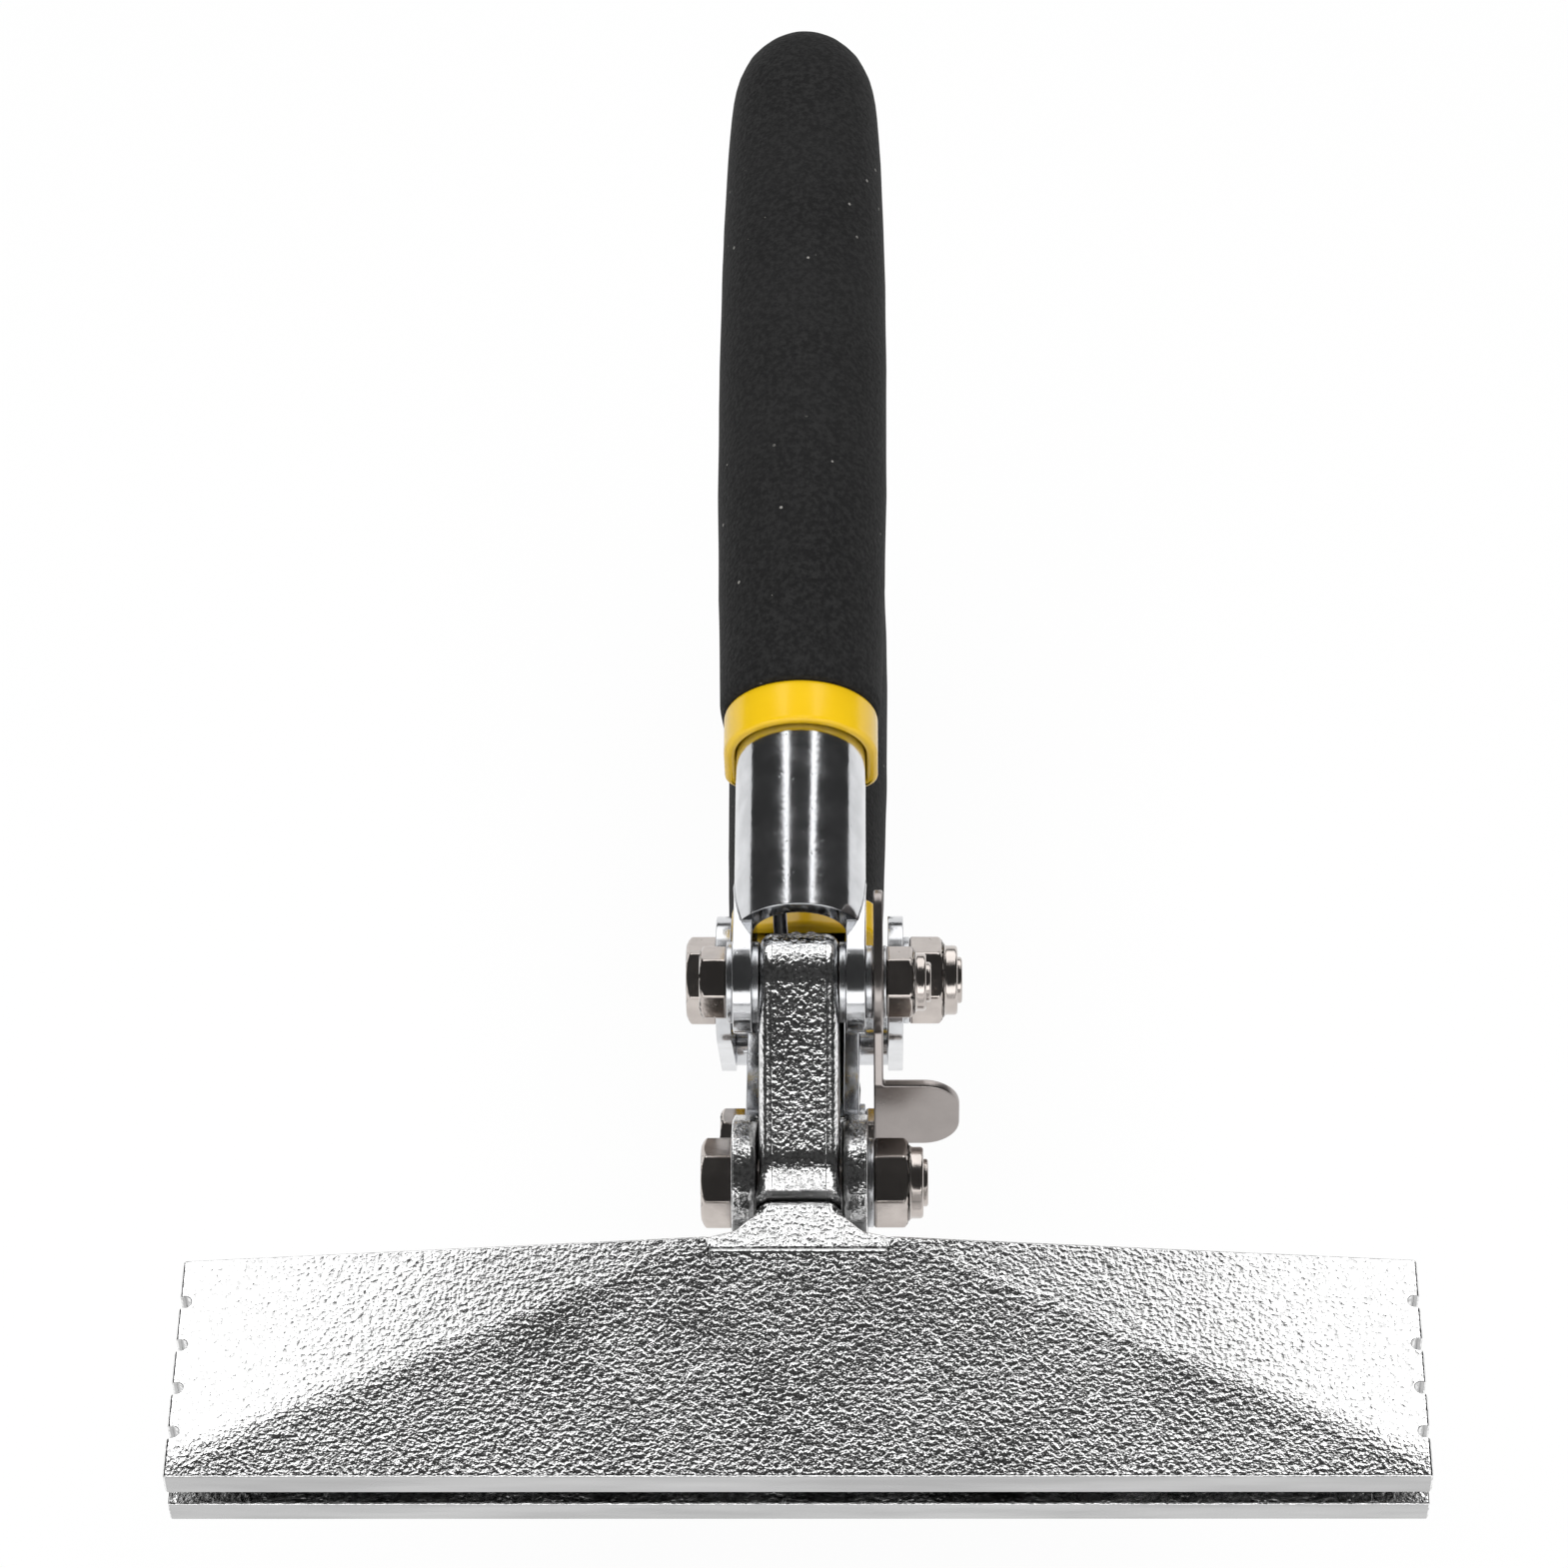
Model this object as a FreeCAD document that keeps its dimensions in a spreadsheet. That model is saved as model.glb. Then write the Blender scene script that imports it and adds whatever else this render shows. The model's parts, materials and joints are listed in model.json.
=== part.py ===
import FreeCAD, Part
import math
import os

import Sketcher

# Straight-jaw sheet-metal hand seamer with compound handles.  Millimetres.
# X runs along the jaws, +Y from the jaws to the handles, +Z from the lower jaw to the upper one.
# The origin is the middle of the tool's bounding box.  Z = 0 is the plane in which the jaws meet.
# The rest pose has the jaws a few millimetres open at the front edge.

SIZES = {
    # whole tool
    "overall_length": 209.6,
    # jaws
    "jaw_width": 152.4,
    "jaw_depth": 31.75,
    "jaw_edge_thickness": 3.7,
    "jaw_root_thickness": 8.8,
    "jaw_root_halfwidth": 12.0,
    "pivot_setback": 46.2,
    "gap_angle": 1.55,
    "jaw_swing": 22.0,
    "notch_spacing": 6.35,
    "notch_radius": 0.8,
    "notch_depth": 1.5,
    "neck_radius": 7.5,
    "root_fillet": 6.0,
    "clevis_wall": 3.2,
    "clevis_radius": 8.0,
    "clevis_clearance": 0.3,
    # tangs that reach from the jaw pivot to the link pivots
    "tang_room": 0.9,
    "tang_reach": 25.4,
    "tang_angle": 45.0,
    "tang_end_radius": 6.1,
    # handles
    "link_reach": 22.0,
    "handle_angle": 9.0,
    "handle_crest": 8.5,
    "handle_skirt": 6.4,
    "handle_lip": 6.6,
    "heel_reach": 15.9,
    "knee_reach": 26.1,
    "ear_root_reach": 20.1,
    "upper_handle_width": 16.6,
    "upper_handle_wall": 2.4,
    "lower_handle_width": 14.7,
    "lower_handle_wall": 2.05,
    "link_end_radius": 6.4,
    "lobe_radius": 7.0,
    # outer ears of the lower handle
    "ear_radius": 8.3,
    "ear_wall": 2.0,
    "left_ear_gap": 0.7,
    "right_ear_gap": 2.8,
    # grips and collars
    "collar_start": 32.4,
    "collar_length": 6.0,
    "collar_wall": 1.6,
    "collar_corner": 3.0,
    "grip_radius": 11.2,
    "grip_end_length": 13.0,
    "grip_fit": 0.1,
    "handle_inset": 16.0,
    # fasteners
    "jaw_bolt_radius": 3.0,
    "handle_bolt_radius": 3.0,
    "link_bolt_radius": 2.5,
    "bore_clearance": 0.08,
    "open_pivot_clearance": 0.35,
    "large_flats": 10.0,
    "large_head": 3.9,
    "large_nut": 6.2,
    "small_flats": 8.0,
    "small_head": 3.4,
    "small_nut": 5.0,
    "bolt_stub": 0.6,
    "washer_thickness": 0.8,
    "washer_margin": 2.6,
    "washer_fit": 0.02,
    "sleeve_wall": 1.4,
    "shim_clearance": 0.05,
    # spring
    "spring_wire": 1.8,
    "spring_turns": 3.0,
    "spring_pitch_ratio": 1.08,
    "spring_leg": 24.6,
    "spring_leg_angle": 50.0,
    # latch
    "latch_thickness": 1.2,
    "latch_spacer": 1.0,
    "latch_wave": 0.4,
    "latch_end_room": 0.3,
    "latch_angle": 13.5,
    "latch_foot_radius": 3.0,
    "latch_tab_setback": 7.6,
    "latch_tab_top": 10.2,
    "latch_tab_height": 12.5,
    "latch_tab_corner": 4.6,
    "latch_tab_length": 9.6,
    "latch_lobe_reach": 10.0,
}


# shares of a standard hexagon bolt and locking nut
CORNER_PER_FLAT = 1 / 3.0**0.5
CHAMFER_SLOPE = 1.6
TURNED_FACE = 0.47
HEX_SHARE = 0.72
CROWN = 0.45
INSERT_SEAT = 0.78
INSERT_TOP = 0.97
INSERT_SIZE = 0.36
THREAD_FIT = 0.01
SLEEVE_END_ROOM = 0.3


class Size:
    """A formula on the sheet's cells, together with the number that it gives."""

    def __init__(self, formula, number):
        self.formula = formula
        self.number = number

    def joined(self, sign, other, number):
        return Size("(%s %s %s)" % (self.formula, sign, other.formula), number)

    def __add__(self, other):
        other = as_size(other)
        return self.joined("+", other, self.number + other.number)

    def __sub__(self, other):
        other = as_size(other)
        return self.joined("-", other, self.number - other.number)

    def __mul__(self, other):
        other = as_size(other)
        return self.joined("*", other, self.number * other.number)

    def __truediv__(self, other):
        other = as_size(other)
        return self.joined("/", other, self.number / other.number)

    def __neg__(self):
        return Size("(0 - %s)" % self.formula, -self.number)

    __radd__ = __add__

    def __rsub__(self, other):
        return as_size(other) - self

    def __rmul__(self, other):
        return as_size(other) * self


def as_size(value):
    if isinstance(value, Size):
        return value
    if value < 0:
        return Size("(0 - %r)" % abs(float(value)), float(value))
    return Size("%r" % float(value), float(value))


def cosine(angle):
    return Size("cos(%s * 1deg)" % angle.formula, math.cos(math.radians(angle.number)))


def sine(angle):
    return Size("sin(%s * 1deg)" % angle.formula, math.sin(math.radians(angle.number)))


def root(value):
    return Size("sqrt(%s)" % value.formula, math.sqrt(value.number))


def make_sheet(doc):
    sheet = doc.addObject("Spreadsheet::Sheet", "Sizes")
    for row, (name, value) in enumerate(SIZES.items(), start=1):
        sheet.set("A%d" % row, name)
        sheet.set("B%d" % row, "%g" % value)
        sheet.setAlias("B%d" % row, name)
    doc.recompute()
    return sheet


doc = FreeCAD.newDocument("hand_seamer")
sheet = make_sheet(doc)


def size(name):
    return Size("Sizes.%s" % name, float(sheet.get(name)))


# ---- places that follow from the sizes -------------------------------------------------

gap = size("gap_angle")
edge = size("jaw_edge_thickness")
setback = size("pivot_setback")
front_reach = setback * cosine(gap)
pivot_y = front_reach - size("overall_length") / 2
rest_tang = size("tang_angle") - gap
link_y = pivot_y + size("tang_reach") * cosine(rest_tang)
link_z = size("tang_reach") * sine(rest_tang)
handle_y = link_y + root(size("link_reach") * size("link_reach") - link_z * link_z)
tilt = size("handle_angle")
across_y = handle_y - link_y
# the handle pivot in the upper handle's own axes, whose +Y runs along the grip
lobe_y = across_y * cosine(tilt) - link_z * sine(tilt)
lobe_z = -(across_y * sine(tilt) + link_z * cosine(tilt))
end_reach = root(
    size("grip_end_length") * size("grip_end_length") * cosine(tilt) * cosine(tilt)
    + size("grip_radius") * size("grip_radius") * sine(tilt) * sine(tilt)
)
grip_height = (size("handle_crest") - size("handle_skirt")) / 2
grip_end = (
    size("overall_length") / 2 - link_y - end_reach + grip_height * sine(tilt)
) / cosine(tilt)

upper_half = size("upper_handle_width") / 2
tang_width = 2 * (upper_half - size("upper_handle_wall") - size("tang_room"))
lower_half = size("lower_handle_width") / 2
left_ear = upper_half + size("left_ear_gap")
right_ear = upper_half + size("right_ear_gap")
latch_inner = upper_half + size("latch_spacer")
latch_outer = latch_inner + size("latch_thickness")
# the latch ends short of the lower link's nut when it stands upright over it
nut_corner = size("small_flats") * CORNER_PER_FLAT
latch_reach = 2 * link_z - nut_corner - size("latch_foot_radius") - size("latch_end_room")


# ---- helpers ------------------------------------------------------------------------------


def bind(target, prop, value):
    target.setExpression(prop, as_size(value).formula)


def new_body(label):
    body = doc.addObject("PartDesign::Body", label)
    body.Label = label
    return body


def plane_of(body, role):
    return [f for f in body.Origin.OriginFeatures if f.Role == role][0]


def new_sketch(body, role, offset=None):
    """A sketch on one of the body's own planes, moved along the plane's normal by offset."""
    sketch = body.newObject("Sketcher::SketchObject", "Sketch")
    sketch.AttachmentSupport = (plane_of(body, role), [""])
    sketch.MapMode = "FlatFace"
    if offset is not None:
        bind(sketch, "AttachmentOffset.Base.z", offset)
    return sketch


def fix_point(sketch, geometry, point, place):
    """Holds a point of the sketch at (u, v) from its origin."""
    for kind, value in zip(("DistanceX", "DistanceY"), place):
        value = as_size(value)
        index = sketch.addConstraint(
            Sketcher.Constraint(kind, -1, 1, geometry, point, value.number)
        )
        bind(sketch, "Constraints[%d]" % index, value)


def vector(place):
    return FreeCAD.Vector(as_size(place[0]).number, as_size(place[1]).number, 0)


def draw_polygon(sketch, places):
    """A closed outline of straight lines through the given places."""
    corners = [vector(place) for place in places]
    lines = []
    for start, end in zip(corners, corners[1:] + corners[:1]):
        lines.append(sketch.addGeometry(Part.LineSegment(start, end), False))
    for line, following in zip(lines, lines[1:] + lines[:1]):
        sketch.addConstraint(Sketcher.Constraint("Coincident", line, 2, following, 1))
    for line, place in zip(lines, places):
        fix_point(sketch, line, 1, place)


def draw_circle(sketch, centre, radius):
    radius = as_size(radius)
    circle = Part.Circle(vector(centre), FreeCAD.Vector(0, 0, 1), radius.number)
    geometry = sketch.addGeometry(circle, False)
    fix_point(sketch, geometry, 3, centre)
    index = sketch.addConstraint(Sketcher.Constraint("Radius", geometry, radius.number))
    bind(sketch, "Constraints[%d]" % index, radius)


def draw_link(sketch, centre1, radius1, centre2, radius2):
    """The outline of a belt round two circles: two arcs joined by two tangent lines."""
    radii = [as_size(radius1), as_size(radius2)]
    centres = [vector(centre1), vector(centre2)]
    along = centres[1] - centres[0]
    lean = math.acos((radii[0].number - radii[1].number) / along.Length)
    heading = math.atan2(along.y, along.x)
    upper, lower = heading + lean, heading - lean
    spans = [(upper, lower + 2 * math.pi), (lower, upper)]
    arcs = []
    for centre, radius, place, span in zip(centres, radii, (centre1, centre2), spans):
        circle = Part.Circle(centre, FreeCAD.Vector(0, 0, 1), radius.number)
        arc = sketch.addGeometry(Part.ArcOfCircle(circle, span[0], span[1]), False)
        fix_point(sketch, arc, 3, place)
        index = sketch.addConstraint(Sketcher.Constraint("Radius", arc, radius.number))
        bind(sketch, "Constraints[%d]" % index, radius)
        arcs.append(arc)
    for angle, ends in ((upper, (1, 2)), (lower, (2, 1))):
        points = [
            centre + FreeCAD.Vector(math.cos(angle), math.sin(angle), 0) * radius.number
            for centre, radius in zip(centres, radii)
        ]
        line = sketch.addGeometry(Part.LineSegment(points[0], points[1]), False)
        sketch.addConstraint(Sketcher.Constraint("Tangent", arcs[0], ends[0], line, 1))
        sketch.addConstraint(Sketcher.Constraint("Tangent", line, 2, arcs[1], ends[1]))


def pad(body, sketch, length, middle=False, back=False):
    feature = body.newObject("PartDesign::Pad", "Pad")
    feature.Profile = sketch
    feature.Midplane = middle
    feature.Reversed = back
    bind(feature, "Length", length)
    doc.recompute()
    return feature


def pocket(body, sketch, length, middle=False, back=False):
    """A cut, which must take something away from the body."""
    before = body.Shape.Volume
    feature = body.newObject("PartDesign::Pocket", "Pocket")
    feature.Profile = sketch
    feature.Midplane = middle
    feature.Reversed = back
    bind(feature, "Length", length)
    doc.recompute()
    if body.Shape.Volume > before - 1e-6:
        raise RuntimeError("a pocket in %s cuts nothing" % body.Label)
    return feature


def place(target, y, z, angle):
    """Puts a sub-part's own origin at (0, y, z), turned about X by angle degrees."""
    target.Placement = FreeCAD.Placement(
        FreeCAD.Vector(0, 0, 0), FreeCAD.Rotation(FreeCAD.Vector(1, 0, 0), 1)
    )
    bind(target, "Placement.Base.y", y)
    bind(target, "Placement.Base.z", z)
    bind(target, "Placement.Rotation.Angle", angle)


def bore(body, centre, radius):
    sketch = new_sketch(body, "YZ_Plane")
    draw_circle(sketch, centre, radius)
    pocket(body, sketch, 200, middle=True)


parts = {}

# ---- jaws ---------------------------------------------------------------------------------

jaw_half = size("jaw_width") / 2
tang_y = size("tang_reach") * cosine(size("tang_angle"))
tang_z = size("tang_reach") * sine(size("tang_angle"))
jaw_back = size("jaw_depth") - setback
clevis_half = tang_width / 2 + size("clevis_clearance") + size("clevis_wall")
slot_half = tang_width / 2 + size("clevis_clearance")
# the neck joins the upper jaw a little above its inner face
neck_start = (jaw_back + 1, size("jaw_root_thickness") * 0.55)
neck_start_radius = size("jaw_root_thickness") * 0.42


def jaw_plate(body, side):
    """The working jaw: a flat inner face and three sloping facets on its back."""
    plan = new_sketch(body, "XY_Plane")
    draw_polygon(
        plan,
        [
            (-jaw_half, -setback),
            (jaw_half, -setback),
            (jaw_half, jaw_back),
            (-jaw_half, jaw_back),
        ],
    )
    pad(body, plan, size("jaw_root_thickness"), back=side < 0)
    # the middle facet rises from the front edge to the root
    rise = new_sketch(body, "YZ_Plane")
    draw_polygon(
        rise,
        [
            (-setback - 1, side * edge),
            (-setback, side * edge),
            (jaw_back, side * size("jaw_root_thickness")),
            (jaw_back, side * (size("jaw_root_thickness") + 5)),
            (-setback - 1, side * (size("jaw_root_thickness") + 5)),
        ],
    )
    pocket(body, rise, size("jaw_width") + 2, middle=True)
    # a side facet falls from the root to each end
    for end in (-1, 1):
        fall = new_sketch(body, "XZ_Plane")
        draw_polygon(
            fall,
            [
                (end * size("jaw_root_halfwidth"), side * size("jaw_root_thickness")),
                (end * jaw_half, side * edge),
                (end * (jaw_half + 1), side * edge),
                (end * (jaw_half + 1), side * (size("jaw_root_thickness") + 5)),
                (
                    end * size("jaw_root_halfwidth"),
                    side * (size("jaw_root_thickness") + 5),
                ),
            ],
        )
        pocket(body, fall, 4 * size("jaw_depth") + 200, middle=True)


def jaw_notches(body, side):
    """Depth marks: four small round notches in each end of the jaw."""
    for end in (-1, 1):
        for number in range(1, 5):
            mark = new_sketch(body, "XY_Plane")
            mark_y = number * size("notch_spacing") - setback
            centre_x = jaw_half - size("notch_depth") + size("notch_radius")
            draw_link(
                mark,
                (end * centre_x, mark_y),
                size("notch_radius"),
                (end * (jaw_half + 3), mark_y),
                size("notch_radius") * 1.001,
            )
            pocket(body, mark, 60, middle=True)


def jaw_root(body, side, half):
    """The flared block that joins the jaw to what turns on the pivot."""
    plan = new_sketch(body, "XY_Plane")
    flare = size("root_fillet")
    draw_polygon(
        plan,
        [
            (-half - flare, jaw_back - 2),
            (half + flare, jaw_back - 2),
            (half + flare, jaw_back),
            (half + flare * 0.5, jaw_back + flare * 0.13),
            (half + flare * 0.13, jaw_back + flare * 0.5),
            (half, jaw_back + flare),
            (-half, jaw_back + flare),
            (-half - flare * 0.13, jaw_back + flare * 0.5),
            (-half - flare * 0.5, jaw_back + flare * 0.13),
            (-half - flare, jaw_back),
        ],
    )
    pad(body, plan, size("jaw_root_thickness"), back=side < 0)


def make_upper_jaw():
    body = new_body("upper_jaw")
    jaw_plate(body, 1)
    jaw_notches(body, 1)
    jaw_root(body, 1, tang_width / 2)
    links = [
        (neck_start, neck_start_radius),
        ((0, 0), size("neck_radius")),
        ((tang_y, tang_z), size("tang_end_radius")),
    ]
    for (centre1, radius1), (centre2, radius2) in zip(links, links[1:]):
        neck = new_sketch(body, "YZ_Plane")
        draw_link(neck, centre1, radius1, centre2, radius2)
        pad(body, neck, tang_width, middle=True)
    bore(body, (0, 0), size("jaw_bolt_radius") + size("bore_clearance"))
    bore(body, (tang_y, tang_z), size("link_bolt_radius") + size("bore_clearance"))
    place(body, pivot_y, 0, -gap)
    return body


def make_lower_jaw():
    body = new_body("lower_jaw")
    jaw_plate(body, -1)
    jaw_notches(body, -1)
    jaw_root(body, -1, clevis_half)
    half_root = size("jaw_root_thickness") / 2
    for outline in (
        ((jaw_back + 1, -half_root), half_root - 0.4, (-1.5, -4.2), as_size(4.0)),
        # the shoulder under the pivot, where the two ears run into one tang
        (
            (0, 0),
            size("clevis_radius"),
            (tang_y * 0.36, -tang_z * 0.36),
            size("clevis_radius") * 0.85,
        ),
    ):
        ear = new_sketch(body, "YZ_Plane")
        draw_link(ear, *outline)
        pad(body, ear, 2 * clevis_half, middle=True)
    # the slot that the upper jaw's neck and tang turn in
    room = 2 * size("clevis_clearance")
    free = size("neck_radius") + room
    slot = new_sketch(body, "YZ_Plane")
    draw_link(slot, neck_start, neck_start_radius + room, (0, 0), free)
    pocket(body, slot, 2 * slot_half, middle=True)
    lowest = size("tang_angle") - size("jaw_swing")
    swing = new_sketch(body, "YZ_Plane")
    draw_polygon(
        swing,
        [
            (jaw_back + 0.5, 0),
            (0, 0),
            (free * sine(lowest), -(free * cosine(lowest))),
            (
                free * sine(lowest) + size("tang_reach") * cosine(lowest),
                size("tang_reach") * sine(lowest) - free * cosine(lowest),
            ),
            (free * 3, free * 3),
            (jaw_back + 0.5, free * 3),
        ],
    )
    pocket(body, swing, 2 * slot_half, middle=True)
    tang = new_sketch(body, "YZ_Plane")
    draw_link(
        tang,
        (tang_y * 0.62, -tang_z * 0.62),
        size("tang_end_radius"),
        (tang_y, -tang_z),
        size("tang_end_radius") * 1.001,
    )
    pad(body, tang, tang_width, middle=True)
    bore(body, (0, 0), size("jaw_bolt_radius") + size("bore_clearance"))
    bore(body, (tang_y, -tang_z), size("link_bolt_radius") + size("bore_clearance"))
    place(body, pivot_y, 0, gap)
    return body


# ---- handles ------------------------------------------------------------------------------


def channel_section(sketch, half, wall, side):
    """A half-round channel, open towards the other handle."""
    crest = side * size("handle_crest")
    spring = crest - side * half
    foot = -side * size("handle_skirt")
    # in this plane the sketch's u runs along X and its v along Z
    inner = half - wall
    geometry = []
    mirror = 1 if side > 0 else -1
    for radius in (half, inner):
        circle = Part.Circle(vector((0, spring)), FreeCAD.Vector(0, 0, 1), radius.number)
        if mirror > 0:
            arc = Part.ArcOfCircle(circle, 0, math.pi)
        else:
            arc = Part.ArcOfCircle(circle, math.pi, 2 * math.pi)
        geometry.append(sketch.addGeometry(arc, False))
    for arc, radius in zip(geometry, (half, inner)):
        fix_point(sketch, arc, 3, (0, spring))
        index = sketch.addConstraint(Sketcher.Constraint("Radius", arc, radius.number))
        bind(sketch, "Constraints[%d]" % index, radius)
        sketch.addConstraint(Sketcher.Constraint("Horizontal", arc, 1, arc, 2))
    first, second = (1, 2) if mirror > 0 else (2, 1)
    for end, sign in ((first, 1), (second, -1)):
        low_outer = vector((sign * half, foot))
        low_inner = vector((sign * inner, foot))
        high_outer = vector((sign * half, spring))
        high_inner = vector((sign * inner, spring))
        wall_out = sketch.addGeometry(Part.LineSegment(high_outer, low_outer), False)
        sole = sketch.addGeometry(Part.LineSegment(low_outer, low_inner), False)
        wall_in = sketch.addGeometry(Part.LineSegment(low_inner, high_inner), False)
        joints = [
            (geometry[0], end, wall_out, 1),
            (wall_out, 2, sole, 1),
            (sole, 2, wall_in, 1),
            (wall_in, 2, geometry[1], end),
        ]
        for joint in joints:
            sketch.addConstraint(Sketcher.Constraint("Coincident", *joint))
        fix_point(sketch, wall_out, 2, (sign * half, foot))
        fix_point(sketch, wall_in, 1, (sign * inner, foot))


def along_handle(body, start):
    """A sketch square to the handle, at a distance start from the link pivot."""
    # XZ_Plane looks along -Y, so the offset runs backwards
    return new_sketch(body, "XZ_Plane", -as_size(start))


def make_upper_handle():
    body = new_body("upper_handle")
    reach = size("link_end_radius")
    heel = (size("heel_reach"), -(size("handle_skirt") - reach * 0.45))
    knee = (size("knee_reach"), -(size("handle_skirt") - 3.0))
    links = [
        ((0, 0), reach, (lobe_y, lobe_z), size("lobe_radius")),
        ((0, 0), reach * 1.001, heel, reach * 0.45),
        ((lobe_y, lobe_z), size("lobe_radius") * 0.999, knee, as_size(3.0)),
        (heel, reach * 0.449, knee, as_size(2.99)),
    ]
    for centre1, radius1, centre2, radius2 in links:
        leg = new_sketch(body, "YZ_Plane")
        draw_link(leg, centre1, radius1, centre2, radius2)
        pad(body, leg, size("upper_handle_width"), middle=True)
    web = new_sketch(body, "YZ_Plane")
    draw_polygon(web, [(0, 0), heel, knee, (lobe_y, lobe_z)])
    pad(body, web, size("upper_handle_width"), middle=True)
    inside = new_sketch(body, "XY_Plane")
    inner = upper_half - size("upper_handle_wall")
    draw_polygon(inside, [(-inner, -30), (inner, -30), (inner, 120), (-inner, 120)])
    pocket(body, inside, 200, middle=True)
    section = along_handle(body, size("handle_lip"))
    channel_section(section, upper_half, size("upper_handle_wall"), 1)
    pad(body, section, grip_end - size("handle_inset") - size("handle_lip"), back=True)
    bore(body, (0, 0), size("link_bolt_radius") + size("bore_clearance"))
    bore(
        body,
        (lobe_y, lobe_z),
        size("handle_bolt_radius") + size("open_pivot_clearance"),
    )
    place(body, link_y, link_z, tilt)
    return body


def make_lower_handle():
    body = new_body("lower_handle")
    reach = size("link_end_radius")
    heel = (size("heel_reach"), size("handle_skirt") - reach * 0.45)
    leg = new_sketch(body, "YZ_Plane")
    draw_link(leg, (0, 0), reach, heel, reach * 0.45)
    pad(body, leg, size("lower_handle_width"), middle=True)
    inside = new_sketch(body, "XY_Plane")
    inner = lower_half - size("lower_handle_wall")
    draw_polygon(inside, [(-inner, -30), (inner, -30), (inner, 120), (-inner, 120)])
    pocket(body, inside, 200, middle=True)
    section = along_handle(body, size("handle_lip"))
    channel_section(section, lower_half, size("lower_handle_wall"), -1)
    pad(body, section, grip_end - size("handle_inset") - size("handle_lip"), back=True)
    pivot = (lobe_y, -lobe_z)
    ear_root = (size("ear_root_reach"), size("handle_skirt") - 5.5)
    for start in (right_ear, -left_ear - size("ear_wall")):
        ear = new_sketch(body, "YZ_Plane", start)
        draw_link(ear, pivot, size("ear_radius"), ear_root, as_size(5.5))
        pad(body, ear, size("ear_wall"))
    steps = [
        (lower_half - size("lower_handle_wall"), right_ear + size("ear_wall")),
        (-left_ear - size("ear_wall"), -lower_half + size("lower_handle_wall")),
    ]
    for start, end in steps:
        step = new_sketch(body, "YZ_Plane", start)
        draw_link(
            step,
            (ear_root[0] - 1.5, ear_root[1] - 1.0),
            as_size(3.0),
            (ear_root[0] + 2.0, ear_root[1] - 1.0),
            as_size(3.01),
        )
        pad(body, step, end - start)
    bore(body, (0, 0), size("link_bolt_radius") + size("bore_clearance"))
    bore(body, pivot, size("handle_bolt_radius") + size("bore_clearance"))
    place(body, link_y, -link_z, -tilt)
    return body


def channel_hole(body, start, length, half, side):
    """The hole that lets the handle's channel through a grip or a collar."""
    hole = along_handle(body, start)
    fit = size("grip_fit")
    crest = side * size("handle_crest")
    spring = crest - side * half
    foot = -side * (size("handle_skirt") + fit)
    radius = half + fit
    circle = Part.Circle(vector((0, spring)), FreeCAD.Vector(0, 0, 1), radius.number)
    span = (0, math.pi) if side > 0 else (math.pi, 2 * math.pi)
    arc = hole.addGeometry(Part.ArcOfCircle(circle, span[0], span[1]), False)
    fix_point(hole, arc, 3, (0, spring))
    index = hole.addConstraint(Sketcher.Constraint("Radius", arc, radius.number))
    bind(hole, "Constraints[%d]" % index, radius)
    hole.addConstraint(Sketcher.Constraint("Horizontal", arc, 1, arc, 2))
    right = 1 if side > 0 else 2
    corners = [(radius, spring), (radius, foot), (-radius, foot), (-radius, spring)]
    points = [vector(corner) for corner in corners]
    lines = [
        hole.addGeometry(Part.LineSegment(start_point, end_point), False)
        for start_point, end_point in zip(points, points[1:])
    ]
    hole.addConstraint(Sketcher.Constraint("Coincident", arc, right, lines[0], 1))
    hole.addConstraint(Sketcher.Constraint("Coincident", lines[0], 2, lines[1], 1))
    hole.addConstraint(Sketcher.Constraint("Coincident", lines[1], 2, lines[2], 1))
    hole.addConstraint(Sketcher.Constraint("Coincident", lines[2], 2, arc, 3 - right))
    fix_point(hole, lines[0], 2, (radius, foot))
    fix_point(hole, lines[1], 2, (-radius, foot))
    pocket(body, hole, length, back=False)


def make_collar(label, half, side):
    """A plastic collar that follows the handle's section and closes below it."""
    body = new_body(label)
    start = size("collar_start")
    length = size("collar_length")
    radius = upper_half + size("collar_wall")
    corner = size("collar_corner")
    spring = side * (size("handle_crest") - half)
    foot_z = -side * (size("handle_skirt") + size("collar_wall") - corner)
    across = radius - corner
    for sign in (1, -1):
        flank = along_handle(body, start)
        draw_link(flank, (0, spring), radius, (sign * across, foot_z), corner)
        pad(body, flank, length, back=True)
    sole_z = foot_z - side * corner
    sole = along_handle(body, start)
    draw_polygon(
        sole, [(-across, spring), (across, spring), (across, sole_z), (-across, sole_z)]
    )
    pad(body, sole, length, back=True)
    channel_hole(body, start - 1, length + 2, half, side)
    place(body, link_y, side * link_z, side * tilt)
    return body


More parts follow.
